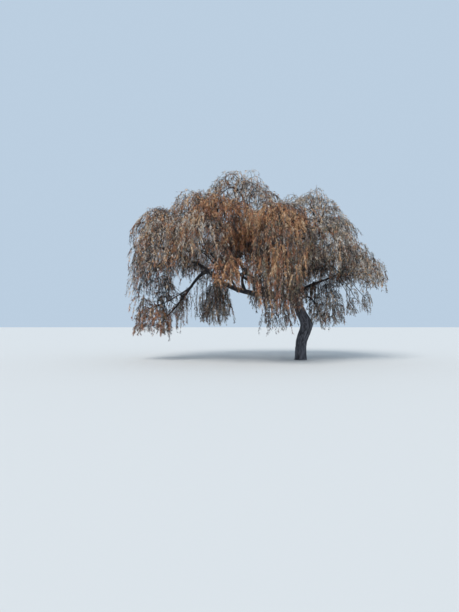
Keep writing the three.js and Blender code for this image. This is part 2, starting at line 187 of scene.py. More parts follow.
# For each range, the tints from light to dark and how often each comes up.
RANGES = {
    "warm": (("tan", 0.06), ("amber", 0.24), ("orange", 0.26), ("rust", 0.19), ("olive", 0.02), ("brown", 0.09), ("dark", 0.09), ("shade", 0.05)),
    "gold": (("amber", 0.14), ("tan", 0.07), ("orange", 0.12), ("grey", 0.08), ("rust", 0.11), ("olive", 0.11), ("brown", 0.14), ("dark", 0.17), ("shade", 0.10)),
    "crown": (("pale", 0.19), ("tan", 0.12), ("amber", 0.06), ("grey", 0.23), ("orange", 0.06), ("rust", 0.06), ("olive", 0.10), ("brown", 0.09), ("dark", 0.12), ("shade", 0.08)),
    "rust": (("tan", 0.02), ("amber", 0.02), ("orange", 0.08), ("rust", 0.16), ("grey", 0.10), ("olive", 0.07), ("brown", 0.17), ("dark", 0.21), ("shade", 0.17)),
    "mixed": (("pale", 0.13), ("tan", 0.12), ("amber", 0.09), ("orange", 0.12), ("grey", 0.13), ("rust", 0.11), ("olive", 0.05), ("brown", 0.08), ("dark", 0.15), ("shade", 0.13)),
    "grey": (("pale", 0.19), ("tan", 0.11), ("amber", 0.05), ("grey", 0.26), ("olive", 0.15), ("rust", 0.04), ("brown", 0.08), ("dark", 0.13), ("shade", 0.10)),
    # The dusk and dark ranges go to the withies inside and under the crown and lean to the darkest tints: painted
    # shade.
    "dusk": (("tan", 0.03), ("grey", 0.26), ("olive", 0.16), ("rust", 0.04), ("brown", 0.15), ("dark", 0.21), ("shade", 0.15)),
    "dark": (("grey", 0.15), ("olive", 0.16), ("rust", 0.06), ("brown", 0.17), ("dark", 0.26), ("shade", 0.20)),
}

# Painted shade and painted light: places in the crown where the leaves are dealt darker tints than the rest of their
# mass, as shade in recesses and under overhangs, or lighter ones where light falls on crests and tops (below nothing):
# middle, half widths and how much.
PAINTED_SHADE_AND_LIGHT = [
    ((-2.35, -2.4, 4.9), (1.2, 2.8, 0.6), 0.2),
    ((-2.3, -1.4, 6.1), (0.9, 1.4, 0.7), -0.8),
    ((-0.9, -3.3, 5.6), (0.6, 1.2, 1.2), -0.3),
    ((0.9, 0.2, 7.1), (1.6, 2.0, 0.9), -0.4),
    ((-3.6, -3.2, 4.2), (0.9, 1.0, 0.8), 0.3),
    ((-6.6, -1.0, 3.5), (1.3, 2.2, 1.1), 0.9),
    ((1.0, -0.8, 3.9), (1.3, 2.0, 0.6), 0.6),
    ((-5.0, 0.0, 4.6), (1.0, 2.0, 0.45), 0.4),
]


# ------------------------------------------------------------------ small tools
def unit(v):
    v = np.asarray(v, float)
    return v / np.maximum(np.linalg.norm(v, axis=-1, keepdims=True), 1e-9)


def lattice(i, seed):
    h = (i[..., 0] * 374761393 + i[..., 1] * 668265263 + i[..., 2] * 974634777 + seed * 362437) & 0xFFFFFFFF
    h = ((h ^ (h >> 13)) * 1274126177) & 0xFFFFFFFF
    h = h ^ (h >> 16)
    return h / 2147483647.5 - 1.0


def noise(p, seed=0):
    """Smooth value noise, about -1 to 1, at each row of p."""
    p = np.asarray(p, float)
    base = np.floor(p).astype(np.int64)
    f = p - base
    f = f * f * (3 - 2 * f)
    out = 0.0
    for dx in (0, 1):
        for dy in (0, 1):
            for dz in (0, 1):
                w = (
                    (f[..., 0] if dx else 1 - f[..., 0])
                    * (f[..., 1] if dy else 1 - f[..., 1])
                    * (f[..., 2] if dz else 1 - f[..., 2])
                )
                out = out + w * lattice(base + np.array([dx, dy, dz]), seed)
    return out


def wander(x, y, z, seed):
    s = seed * 2.399
    return (
        np.sin(2.1 * x + 1.3 * y + s) + np.sin(2.7 * y - 1.9 * z + 1.7 * s) + np.sin(3.3 * z + 2.3 * x - 0.6 * s)
        + 0.6 * np.sin(5.1 * x - 4.3 * y + 3.1 * s) + 0.6 * np.sin(4.7 * y + 5.3 * z - 2.2 * s)
    ) / 4.2


def new_mesh(name, verts, loops, starts, slots=None, smooth=True):
    """An object from flat arrays: corner indices, and where each face's corners start."""
    me = bpy.data.meshes.new(name)
    me.vertices.add(len(verts))
    me.vertices.foreach_set("co", np.asarray(verts, np.float32).ravel())
    me.loops.add(len(loops))
    me.loops.foreach_set("vertex_index", np.asarray(loops, np.int32))
    me.polygons.add(len(starts))
    me.polygons.foreach_set("loop_start", np.asarray(starts, np.int32))
    if slots is not None:
        me.polygons.foreach_set("material_index", np.asarray(slots, np.int32))
    me.polygons.foreach_set("use_smooth", np.full(len(starts), smooth))
    me.update(calc_edges=True)
    me.validate()
    o = bpy.data.objects.new(name, me)
    bpy.context.scene.collection.objects.link(o)
    return o


def triangles(o):
    n = np.empty(len(o.data.polygons), np.int32)
    o.data.polygons.foreach_get("loop_total", n)
    return int((n - 2).sum())


def lengths(line):
    return np.concatenate([[0], np.cumsum(np.linalg.norm(np.diff(line, axis=0), axis=1))])


class Tubes:
    """Gathers closed tapering tubes along lines, and makes one mesh of them."""

    def __init__(self):
        self.verts, self.loops, self.starts, self.n, self.at = [], [], [], 0, 0

    def add(self, line, radii, sides):
        line = np.asarray(line, float)
        k = len(line)
        tangent = unit(np.gradient(line, axis=0))
        side = np.cross(tangent[0], (0.3, 0.9, 0.1))
        if np.linalg.norm(side) < 0.2:
            side = np.cross(tangent[0], (1.0, 0.0, 0.0))
        side = unit(side)
        turn = np.arange(sides) * 2 * math.pi / sides
        for i in range(k):
            side = unit(side - tangent[i] * side.dot(tangent[i]))
            other = np.cross(tangent[i], side)
            self.verts.append(line[i] + radii[i] * (np.cos(turn)[:, None] * side + np.sin(turn)[:, None] * other))
        j = np.arange(sides)
        nxt = (j + 1) % sides
        for i in range(k - 1):
            a, b = self.n + i * sides, self.n + (i + 1) * sides
            self.loops.append(np.stack([a + j, a + nxt, b + nxt, b + j], 1).ravel())
            self.starts.append(self.at + 4 * j)
            self.at += 4 * sides
        for ring, way in ((0, -1), (k - 1, 1)):
            idx = self.n + ring * sides + j
            self.loops.append(idx[::way])
            self.starts.append(np.array([self.at]))
            self.at += sides
        self.n += k * sides

    def make(self, name, smooth=True):
        return new_mesh(
            name, np.concatenate(self.verts), np.concatenate(self.loops), np.concatenate(self.starts), smooth=smooth
        )


# ------------------------------------------------------------------ limbs
def trunk_line(points, radii, steps=24):
    """The same centripetal curve through the points as the frame's trunk has."""
    p = np.array(points)
    p = np.vstack([2 * p[0] - p[1], p, 2 * p[-1] - p[-2]])
    line, rs = [], []
    for i in range(len(points) - 1):
        x0, x1, x2, x3 = p[i], p[i + 1], p[i + 2], p[i + 3]
        d0, d1, d2 = (max(np.linalg.norm(b - a) ** 0.5, 1e-6) for a, b in ((x0, x1), (x1, x2), (x2, x3)))
        t1 = ((x1 - x0) / d0 - (x2 - x0) / (d0 + d1) + (x2 - x1) / d1) * d1
        t2 = ((x2 - x1) / d1 - (x3 - x1) / (d1 + d2) + (x3 - x2) / d2) * d1
        for t in np.arange(steps) / steps:
            line.append(x1 + t1 * t + (-3 * x1 + 3 * x2 - 2 * t1 - t2) * t**2 + (2 * x1 - 2 * x2 + t1 + t2) * t**3)
            rs.append(radii[i] + (radii[i + 1] - radii[i]) * t)
    return np.array(line + [p[-2]]), np.array(rs + [radii[-1]])


def cubic(a, b, c, d, r0, r1, step):
    """A cubic curve in even steps, with its radii."""
    t = np.linspace(0, 1, 400)[:, None]
    a, b, c, d = map(np.array, (a, b, c, d))
    fine = (1 - t) ** 3 * a + 3 * t * (1 - t) ** 2 * b + 3 * t**2 * (1 - t) * c + t**3 * d
    along = lengths(fine)
    n = max(4, int(round(along[-1] / step)) + 1)
    at = np.linspace(0, along[-1], n)
    line = np.stack([np.interp(at, along, fine[:, k]) for k in range(3)], 1)
    return line, r0 + (r1 - r0) * at / along[-1]


TRUNK, TRUNK_R = trunk_line(TRUNK_LINE, TRUNK_RADIUS)
LIMBS = {n: cubic(*row, step=0.05) for n, row in BOUGHS.items()}


def trunk_surface(sides, rings):
    """The frame's trunk, ring by ring, with its flare and lumps, as a tube for the union."""
    top = TRUNK_LINE[-1][2]
    z = top * np.linspace(0, 1, rings)
    px, py, r = (np.interp(z, TRUNK[:, 2], v) for v in (TRUNK[:, 0], TRUNK[:, 1], TRUNK_R))
    angle = np.arange(sides) * 2 * math.pi / sides
    zz, aa = np.meshgrid(z, angle, indexing="ij")
    flare = 1 + FLARE * np.exp(-zz / FLARE_HEIGHT) * (0.72 + 0.28 * np.cos(BUTTRESSES * aa + 0.7))
    lumps = 1 + 0.035 * wander(np.cos(aa), np.sin(aa), zz * 1.4, 31)
    radius = r[:, None] * flare * lumps
    verts = np.stack([px[:, None] + radius * np.sin(aa), py[:, None] - radius * np.cos(aa), zz], -1).reshape(-1, 3)
    j = np.arange(sides)
    nxt = (j + 1) % sides
    loops, starts, at = [], [], 0
    for i in range(rings - 1):
        a, b = i * sides, (i + 1) * sides
        loops.append(np.stack([a + j, a + nxt, b + nxt, b + j], 1).ravel())
        starts.append(at + 4 * j)
        at += 4 * sides
    for ring, way in ((0, -1), (rings - 1, 1)):
        loops.append((ring * sides + j)[::way])
        starts.append(np.array([at]))
        at += sides
    return verts, np.concatenate(loops), np.concatenate(starts)


def bake_modifiers(o):
    """Puts what the modifiers make in place of the object's own mesh."""
    dg = bpy.context.evaluated_depsgraph_get()
    made = bpy.data.meshes.new_from_object(o.evaluated_get(dg))
    o.modifiers.clear()
    old = o.data
    o.data = made
    bpy.data.meshes.remove(old)


def union(parts, voxel, smooth):
    """One closed skin over several closed meshes, with the forks smoothed together."""
    whole = parts[0]
    with bpy.context.temp_override(
        active_object=whole, object=whole, selected_objects=parts, selected_editable_objects=parts
    ):
        bpy.ops.object.join()
    m = whole.modifiers.new("skin", "REMESH")
    m.mode, m.voxel_size, m.adaptivity, m.use_smooth_shade = "VOXEL", voxel, 0.0, True
    s = whole.modifiers.new("soft", "SMOOTH")
    s.factor, s.iterations = 0.5, smooth
    bake_modifiers(whole)
    return whole


def mesh_arrays(me):
    co = np.empty(len(me.vertices) * 3, np.float32)
    me.vertices.foreach_get("co", co)
    nrm = np.empty(len(me.vertices) * 3, np.float32)
    me.vertices.foreach_get("normal", nrm)
    return co.reshape(-1, 3).astype(float), nrm.reshape(-1, 3).astype(float)


def bark_at(co, limbs):
    """At each point: the height of the bark's ridges, a place along and round the limb, and the limb's radius."""
    n = len(co)
    best, second = np.full(n, 1e9), np.full(n, 1e9)
    relief, relief2, size, place = np.zeros(n), np.zeros(n), np.zeros(n), np.zeros((n, 3))
    for k, (line, radii) in enumerate(limbs):
        lo, hi = line.min(0) - 0.45, line.max(0) + 0.45
        near = np.where(((co > lo) & (co < hi)).all(1))[0]
        if not len(near):
            continue
        along = lengths(line)
        tangent = unit(np.gradient(line, axis=0))
        side = unit(np.cross(tangent, np.broadcast_to(np.array([0.21, 0.93, 0.3]), tangent.shape)))
        p = co[near]
        i = np.empty(len(p), int)
        for a in range(0, len(p), 4000):
            i[a : a + 4000] = ((p[a : a + 4000, None] - line[None]) ** 2).sum(2).argmin(1)
        off = p - line[i]
        s = along[i] + (off * tangent[i]).sum(1)
        off = off - tangent[i] * (off * tangent[i]).sum(1, keepdims=True)
        r = radii[i]
        gap = np.linalg.norm(off, axis=1) - r
        other = np.cross(tangent[i], side[i])
        turn = np.arctan2((off * other).sum(1), (off * side[i]).sum(1))
        width = 0.026 + 0.1 * r  # of one ridge
        q = np.stack([r * np.cos(turn) / width, r * np.sin(turn) / width, s / (width * 5.0)], 1)
        q = q + 0.6 * np.stack([noise(q * 0.9 + 7, k), noise(q * 0.9 + 31, k + 3), noise(q * 0.7 + 57, k + 5)], 1)
        ridge = 1 - np.abs(noise(q * 1.15, 11 + k)) * 2.1
        ridge = 0.7 * np.clip(ridge, -1, 1) + 0.3 * noise(q * 2.7, 17 + k)
        around = np.stack([r * np.cos(turn), r * np.sin(turn), s], 1) + k * 3.7
        first = gap < best[near]
        g = near[first]
        second[g], relief2[g] = best[g], relief[g]
        best[g], relief[g], place[g], size[g] = gap[first], ridge[first], around[first], r[first]
        then = ~first & (gap < second[near])
        g = near[then]
        second[g], relief2[g] = gap[then], ridge[then]
    w = np.clip(0.5 + (second - best) / 0.08, 0.5, 1.0)
    return relief * w + relief2 * (1 - w), place, size


def raise_bark(o, limbs, budget):
    """Raises ridges and furrows along the limbs, thins the mesh to a budget, and keeps the relief on it."""
    co, nrm = mesh_arrays(o.data)
    height, _, size = bark_at(co, limbs)
    depth = np.clip(size * 0.062, 0.0012, 0.0165)
    moved = co + nrm * (height * depth)[:, None]
    moved[:, 2] = np.where(co[:, 2] < 0.006, 0.0, np.maximum(moved[:, 2], 0.0))
    o.data.vertices.foreach_set("co", moved.astype(np.float32).ravel())
    o.data.update()
    thin = o.modifiers.new("thin", "DECIMATE")
    thin.ratio = min(1.0, budget / max(1, triangles(o)))
    bake_modifiers(o)
    me = o.data
    co, _ = mesh_arrays(me)
    co[:, 2] = np.maximum(co[:, 2], 0.0)
    me.vertices.foreach_set("co", co.astype(np.float32).ravel())
    height, place, size = bark_at(co, limbs)
    stout = np.clip((size - 0.09) / 0.1, 0, 1)
    me.attributes.new("stout", "FLOAT", "POINT").data.foreach_set("value", stout.astype(np.float32))
    me.attributes.new("relief", "FLOAT", "POINT").data.foreach_set("value", height.astype(np.float32))
    me.attributes.new("limb_place", "FLOAT_VECTOR", "POINT").data.foreach_set("vector", place.astype(np.float32).ravel())
    me.polygons.foreach_set("use_smooth", np.full(len(me.polygons), True))
    me.update()


def collared(line, radii):
    """A bough's own tube, a little wider where it leaves its parent."""
    along = lengths(line)
    swell = 1 + 0.25 * np.exp(-(((along - 0.18) / 0.2) ** 2))
    knots = 1 + 0.05 * noise(np.stack([along * 2.3, along * 0 + radii[0] * 90, along * 0], 1), 5)
    return line, radii * swell * knots


bough_tubes = Tubes()
for n in BOUGHS:
    bough_tubes.add(*collared(*LIMBS[n]), 14)
wood = union([new_mesh("trunk_skin", *trunk_surface(64, 130)), bough_tubes.make("bough_tubes")], 0.017, 3)
wood.name = "trunk_and_boughs"
raise_bark(wood, [(TRUNK, TRUNK_R)] + [LIMBS[n] for n in BOUGHS], 100_000)
print("wood", triangles(wood), round(time.perf_counter() - T0, 1))


# ------------------------------------------------------------------ masses
class Mass:
    def __init__(self, name):
        self.name = name
        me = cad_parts["foliage_" + name].data
        me.calc_loop_triangles()
        tri = np.empty(len(me.loop_triangles) * 3, np.int32)
        me.loop_triangles.foreach_get("vertices", tri)
        self.tri = tri.reshape(-1, 3)
        self.co = mesh_arrays(me)[0]
        self.tree = BVHTree.FromPolygons([tuple(v) for v in self.co], [tuple(t) for t in self.tri.tolist()])
        self.lo, self.hi = self.co.min(0), self.co.max(0)
        self.mid = (self.lo + self.hi) / 2

    def inside(self, p):
        if (p < self.lo).any() or (p > self.hi).any():
            return False
        at, normal, _, _ = self.tree.find_nearest(Vector(p))
        return (Vector(p) - at).dot(normal) < 0

    def on_skin(self, n, gen):
        a, b, c = (self.co[self.tri[:, k]] for k in range(3))
        cross = np.cross(b - a, c - a)
        size = np.linalg.norm(cross, axis=1)
        i = gen.choice(len(size), n, p=size / size.sum())
        u, v = gen.random((2, n, 1))
        u, v = np.where(u + v > 1, 1 - u, u), np.where(u + v > 1, 1 - v, v)
        return a[i] + u * (b[i] - a[i]) + v * (c[i] - a[i]), cross[i] / size[i][:, None]

    def hem_below(self, p):
        """The height of the mass's lower face straight under a point."""
        z, start = None, Vector(p)
        for _ in range(4):
            hit = self.tree.ray_cast(start, Vector((0, 0, -1)))[0]
            if hit is None:
                break
            z = hit.z
            start = hit + Vector((0, 0, -1e-3))
        return self.lo[2] + 0.3 if z is None else z


masses = {n: Mass(n) for n in MASSES}


def buried(p, own):
    return any(m.inside(p) for n, m in masses.items() if n != own)


def spread_out(p, want, gen):
    """Picks points far from one another: each next one is the farthest from those already picked."""
    if len(p) <= want:
        return list(range(len(p)))
    picked = [int(gen.integers(len(p)))]
    d = np.linalg.norm(p - p[picked[0]], axis=1)
    while len(picked) < want:
        i = int((d * (0.75 + 0.25 * gen.random(len(p)))).argmax())
        picked.append(i)
        d = np.minimum(d, np.linalg.norm(p - p[i], axis=1))
    return picked


# ------------------------------------------------------------------ arching shoots
UP = np.array([0.0, 0.0, 1.0])
ARCH_STEPS = 8
TIER = 0.78  # metres from one tier of umbrellas to the next


def arch(through, out, length, gen):
    """A shoot that rises, bends over at the given point and droops."""
    rise, fall = math.radians(gen.uniform(45, 75)), math.radians(gen.uniform(60, 85))
    t = (np.arange(ARCH_STEPS - 1) + 0.5) / (ARCH_STEPS - 1)
    tilt = rise - (rise + fall) * t**1.1
    turn = math.atan2(out[1], out[0]) + gen.normal(0, 0.25) + gen.normal(0, 0.35) * t
    d = np.stack([np.cos(tilt) * np.cos(turn), np.cos(tilt) * np.sin(turn), np.sin(tilt)], 1)
    line = np.vstack([np.zeros(3), np.cumsum(d * length / (ARCH_STEPS - 1), axis=0)])
    return line + (through - line[4])


shoots = []  # line, mass
for number, (name, row) in enumerate(MASSES.items()):
    m = masses[name]
    gen = np.random.default_rng(500 + number)
    skin, normal = m.on_skin(row[0] * 22, gen)
    share = (skin[:, 2] - m.lo[2]) / (m.hi[2] - m.lo[2])
    keep = (normal[:, 2] > -0.35) & (gen.random(len(skin)) < np.clip(0.35 + 0.9 * share, 0, 1))
    keep &= share > 0.22
    # the loose masses carry their shoots in wavy tiers, with darker bands between them
    swell = 0.5 * noise(skin * [0.9, 0.9, 0.0] + number * 5.3, 61)
    phase = (skin[:, 2] / TIER + swell) % 1.0
    keep &= (phase < 0.42) | (gen.random(len(skin)) > 0.75 * min(1.0, row[9] * 1.3)) | (share > 0.9)
    skin, normal = skin[keep], normal[keep]
    open_air = np.array([not buried(p + nn * 0.1, name) for p, nn in zip(skin, normal)])
    skin, normal = skin[open_air], normal[open_air]
    for i in spread_out(skin, row[0], gen):
        p, nn = skin[i], normal[i]
        away = np.array([p[0] - m.mid[0], p[1] - m.mid[1], 0.0])
        out = unit(np.array([nn[0], nn[1], 0.0]) * 1.2 + unit(away) * 0.5 + gen.normal(0, 0.25, 3) * [1, 1, 0])
        length = row[2] * gen.uniform(0.75, 1.2)
        stray = gen.random() < 0.3 * row[9] ** 2
        inset = gen.uniform(-0.18, 0.04) if stray else gen.uniform(0.02, 0.3)
        line = arch(p - nn * inset - UP * 0.04, out, length, gen)
        shoots.append((line, name))
for number, (name, start, end, deep, count) in enumerate(CORNERS):
    m = masses[name]
    gen = np.random.default_rng(860 + number)
    for u in (np.arange(count) + gen.random(count)) / count:
        v = gen.uniform(-1, 1)
        p = np.array(start) * (1 - u) + np.array(end) * u + [0, deep * v, 0.12 * math.sin(math.pi * u) - 0.3 * v * v]
        out = unit(unit(np.array([p[0] - m.mid[0], p[1] - m.mid[1], 0.0])) + gen.normal(0, 0.3, 3) * [1, 1, 0])
        shoots.append((arch(p, out, MASSES[name][2] * gen.uniform(0.7, 1.05), gen), name))
points = np.array([s[0][0] for s in shoots])
print("shoots", len(shoots), round(time.perf_counter() - T0, 1))

# ------------------------------------------------------------------ branching
STEP, REACHED = 0.16, 0.2
# The low limbs carry only the low masses beside them, so that the gaps between them stay open.
LOW_LIMBS = {
    ("left_outer", "left_fork"): ("low_far_left",),
    ("left_outer", "left_high"): ("strand_left",),
    ("left_inner",): ("tail_left",),
    ("right_low", "right_outer"): ("tail_right",),
    ("front_low",): ("tail_middle",),
    ("right_outer",): ("strand_right", "strand_far_right", "tip_right"),
}
nodes, parent, bough_nodes, can_sprout, limb_of = [], [], {}, [], []
for name, (line, radii) in LIMBS.items():
    first = 0.3 if name in ("left_inner", "centre", "right", "front", "back") else 0.15
    own = []
    for i in range(0, len(line), 3):
        parent.append(own[-1] if own else -1)
        own.append(len(nodes))
        nodes.append(line[i])
        can_sprout.append(i / (len(line) - 1) >= first)
        limb_of.append(name)
    bough_nodes[name] = own
N_BOUGH = len(nodes)
nodes = np.array(nodes)
limb_of, can_sprout = np.array(limb_of), np.array(can_sprout)
carrier = np.full(len(points), -1)
gen = np.random.default_rng(77)
of_shoot = np.array([s[1] for s in shoots])
low = [m for members in LOW_LIMBS.values() for m in members]
crown_limbs = [n for n in BOUGHS if n not in ("left_outer", "left_fork", "right_low", "front_low")]
for limb_names, members in [*LOW_LIMBS.items(), (tuple(crown_limbs), tuple(m for m in MASSES if m not in low))]:
    live = np.where(np.isin(of_shoot, members))[0]
    allowed = np.where(can_sprout & np.isin(limb_of, limb_names))[0]
    near, dist = np.full(len(points), -1), np.full(len(points), 1e9)
    d = np.linalg.norm(points[live, None] - nodes[None, allowed], axis=2)
    near[live], dist[live] = allowed[d.argmin(1)], d.min(1)
    for turn in range(160):
        done = dist[live] < REACHED
        carrier[live[done]] = near[live[done]]
        live = live[~done]
        if not len(live):
            break
        tips, inverse = np.unique(near[live], return_inverse=True)
        pull, far = np.zeros((len(tips), 3)), np.zeros(len(tips))
        np.add.at(pull, inverse, unit(points[live] - nodes[near[live]]))
        np.add.at(far, inverse, dist[live])
        far /= np.bincount(inverse)
        lift = np.clip(far - 0.5, 0, 1.2) * 0.28
        way = unit(unit(pull) + lift[:, None] * UP + gen.normal(0, 0.15, pull.shape))
        fresh = nodes[tips] + way * STEP
        count = len(nodes)
        parent += list(tips)
        nodes = np.concatenate([nodes, fresh])
        d = np.linalg.norm(points[live, None] - fresh[None], axis=2)
        j = d.argmin(1)
        dj = d[np.arange(len(live)), j]
        closer = dj < dist[live] - 1e-6
        near[live[closer]] = count + j[closer]
        dist[live[closer]] = dj[closer]
    carrier[live] = near[live]
    if len(live):
        print("not reached", len(live), members)
parent = np.array(parent)
print("branch nodes", len(nodes), round(time.perf_counter() - T0, 1))

# Branch thickness from what each one carries.
POWER, SHOOT_RADIUS = 2.3, 0.0095
load = np.zeros(len(nodes))
np.add.at(load, carrier, SHOOT_RADIUS**POWER)
kids = [[] for _ in nodes]
for i in range(len(nodes) - 1, -1, -1):
    if parent[i] >= 0:
        load[parent[i]] += load[i]
        kids[parent[i]].append(i)
thick = np.maximum(load ** (1 / POWER), 0.004)

# Each branch runs on along its thickest child, and the others start lines of their own.
runs = []
stack = [(i, c) for i in range(N_BOUGH) for c in sorted(kids[i]) if c >= N_BOUGH]
while stack:
    a, c = stack.pop()
    run = [a, c]
    while kids[run[-1]]:
        ks = sorted(kids[run[-1]], key=lambda k: -thick[k])
        stack += [(run[-1], k) for k in ks[1:]]
        run.append(ks[0])
    runs.append(run)
placed = nodes.copy()
for run in runs:
    p = nodes[run].copy()
    for _ in range(4):
        if len(p) > 2:
            p[1:-1] = 0.5 * p[1:-1] + 0.25 * (p[:-2] + p[2:])
    placed[run[1:]] = p[1:]
tip_of = {own[-1]: name for name, own in bough_nodes.items()}
limbs = Tubes()
for run in sorted(runs, key=lambda r: -thick[r[1]]):
    p, r = placed[run], thick[run].copy()
    r[0] = r[1] * 1.15
    if run[0] in tip_of and run[1] == max(kids[run[0]], key=lambda k: thick[k]):
        end_r = LIMBS[tip_of[run[0]]][1][-1]
        r = np.maximum(r, end_r * np.linspace(1, 0, len(run)) ** 1.3)
        r[0] = end_r
    r[-1] = min(r[-1], SHOOT_RADIUS)
    big = r[1]
    limbs.add(p, r, 9 if big > 0.05 else 7 if big > 0.025 else 5 if big > 0.014 else 4)
for k, (line, name) in enumerate(shoots):
    line[0] = placed[carrier[k]]
    line[1] = 0.5 * line[1] + 0.25 * (line[0] + line[2])
    limbs.add(line[[0, 1, 2, 4, 6, 7]], np.array([1, 0.95, 0.85, 0.7, 0.5, 0.35]) * SHOOT_RADIUS, 4)
branches = limbs.make("branches")
print("branches", triangles(branches), round(time.perf_counter() - T0, 1))

# ------------------------------------------------------------------ withies
DOWN = -UP
gen = np.random.default_rng(901)
foot_of, way_of, len_of, leaf_of, bend_of, mass_of, kind_of, tone_of, loose_of = ([] for _ in range(9))


def withy(foot, way, length, leafy, bend, name, kind, tone, loose):
    foot_of.append(foot)
    way_of.append(way)
    len_of.append(length)
    leaf_of.append(leafy)
    bend_of.append(bend)
    mass_of.append(name)
    kind_of.append(kind)
    tone_of.append(tone)
    loose_of.append(loose)


wisps = dict(WISPS)
for line, name in shoots:
    m, row = masses[name], MASSES[name]
    loose = row[9]
    along = lengths(line)
    along /= along[-1]
    tangent = unit(np.gradient(line, axis=0))
    tone = gen.normal(0, 0.2)
    crest = line[4]
    if wisps.get(name, 0) > 0 and crest[2] > m.lo[2] + 0.72 * (m.hi[2] - m.lo[2]):
        wisps[name] -= 1
        up = unit(tangent[3] * 0.6 + UP * 0.9 + gen.normal(0, 0.25, 3))
        withy(line[3], up, gen.uniform(0.3, 0.7), row[5] * 0.4, gen.uniform(0.2, 0.42), name, row[8], tone, 1.0)
    for w in range(row[1]):
        last = w == row[1] - 1
        inner = w < 2
        t = 1.0 if last else gen.uniform(0.08, 0.35) if inner else 0.33 + 0.67 * (w - 2 + gen.random()) / (row[1] - 3)
        t = min(t, 1.0)
        foot = np.array([np.interp(t, along, line[:, k]) for k in range(3)])
        d = unit(np.array([np.interp(t, along, tangent[:, k]) for k in range(3)]))
        lateral = unit(np.cross(d, UP) + 1e-6) * (1 if w % 2 else -1)
        if last:
            way = d
        else:
            way = unit(d * gen.uniform(0.3, 0.9) + lateral * gen.uniform(0.3, 0.9 + 0.4 * loose) + UP * gen.uniform(-0.1, 0.25 + 0.25 * loose))
        room = foot[2] - m.hem_below(foot)
        if gen.random() < row[6]:
            length = max(room, 0.2) + gen.uniform(0.15, 1.0) * row[7]
            leafy = row[5] * 0.65
        else:
            length = min(gen.uniform(row[3], row[4]) * (0.8 + 0.35 * t), max(room, 0.15) + gen.uniform(-0.2, 0.22))
            leafy = row[5] * gen.uniform(0.75, 1.25)
        if inner:
            leafy *= 0.8
        length = max(length, 0.3)
        # The two inner withies of each shoot, deep in the crown, get a darker tone (+0.3): painted shade.
        withy(foot, way, length, leafy, gen.uniform(0.1 + 0.07 * loose, 0.2 + 0.24 * loose), name, row[8],
              tone + gen.normal(0, 0.26) + (0.3 if inner else 0.0), loose)
for bough, t0, t1, n, short, longest, leafy, kind, name in BARE_STRETCHES:
    line, radii = LIMBS[bough]
    for _ in range(n):
        p = line[int(gen.uniform(t0, t1) * (len(line) - 1))]
        side = unit(np.array([gen.normal(), gen.normal(), 0.2]))
        withy(p, unit(side + UP * gen.uniform(-0.3, 0.9)), gen.uniform(short, longest),
              leafy, gen.uniform(0.08, 0.3), name, kind, gen.normal(0, 0.25), 0.3)

deep = np.arange(N_BOUGH, len(nodes))
at = placed[deep]
deep = deep[(at[:, 0] > -5.2) & (at[:, 0] < 0.6) & (np.abs(at[:, 1]) < 1.7) & (at[:, 2] > 4.4) & (at[:, 2] < 6.8)]
at = placed[deep]
heart = (at[:, 0] > -3.5) & (at[:, 0] < -1.2) & (at[:, 2] > 4.8) & (at[:, 2] < 6.6)
chance = np.where(heart, 6.0, 1.0)
# The inner withies take the dark range of tints: painted shade inside the crown.
for c in gen.choice(deep, INNER[0], p=chance / chance.sum()):
    side = unit(np.array([gen.normal(), gen.normal(), 0.2]))
    withy(placed[c], side, gen.uniform(INNER[1], INNER[2]), INNER[3], gen.uniform(0.1, 0.3), "top_left", "dark",
          gen.normal(0, 0.25), 0.5)

deep = np.arange(N_BOUGH, len(nodes))
deep = deep[((placed[deep] > SEAM[0]) & (placed[deep] < SEAM[1])).all(1)]
print("seam", len(deep))
for c in gen.choice(deep, SEAM[2]):
    side = unit(np.array([gen.normal(), gen.normal() - 0.6, 0.3]))
    withy(placed[c], side, gen.uniform(SEAM[3], SEAM[4]), SEAM[5], gen.uniform(0.2, 0.5), "upper_front", "warm",
          gen.normal(0, 0.25), 0.6)

n = len(len_of)
foot, first = np.array(foot_of), np.array(way_of)
length, leafy, bend, tone, loose = (np.array(v) for v in (len_of, leaf_of, bend_of, tone_of, loose_of))
of_mass, kind = np.array(mass_of), np.array(kind_of)
x, y, z = (foot + first * [0.2, 0.2, 0.0]).T
in_notch = (x > NOTCH[0][0]) & (x < NOTCH[0][1]) & (y > NOTCH[1][0]) & (y < NOTCH[1][1]) & (z > NOTCH[2][0])
over = in_notch & (z > NOTCH[2][1] + 0.25)
length[over] = np.minimum(length[over], z[over] - NOTCH[2][1] + gen.uniform(-0.05, 0.15, int(over.sum())))
length[in_notch & ~over] = 0.3
leafy[in_notch & ~over] = 0.0
CUTS = np.array([0.0, 0.14, 0.34, 0.64, 1.0])
K = len(CUTS)
path = np.zeros((n, K, 3))
path[:, 0] = foot
sway = np.stack([gen.normal(0, 1, n), gen.normal(0, 1, n), np.zeros(n)], 1) * (0.08 + 0.16 * loose)[:, None]
curl = gen.uniform(0, 2 * math.pi, n)
centre = np.array([-2.1, 0.1, 0.0])
outward = unit((foot - centre) * [1, 1, 0])
for k in range(1, K):
    s = 0.5 * (CUTS[k] + CUTS[k - 1]) * length
    w = (1 - np.exp(-((s / bend) ** 1.4)))[:, None]
    swing = sway + (0.08 + 0.12 * loose)[:, None] * np.stack([np.cos(curl + 3.3 * s), np.sin(curl + 2.9 * s), 0 * s], 1)
    d = unit(first * (1 - w) + (DOWN + swing + outward * 0.04) * w)
    path[:, k] = path[:, k - 1] + d * ((CUTS[k] - CUTS[k - 1]) * length)[:, None]
reach = np.array([0.17, 0.1, 0.1])
path = np.clip(path, LOW - reach, HIGH + reach)
lift = np.maximum(0.95 - path[:, -1, 2], 0)
path[:, :, 2] += np.linspace(0, 1, K)[None] * lift[:, None]

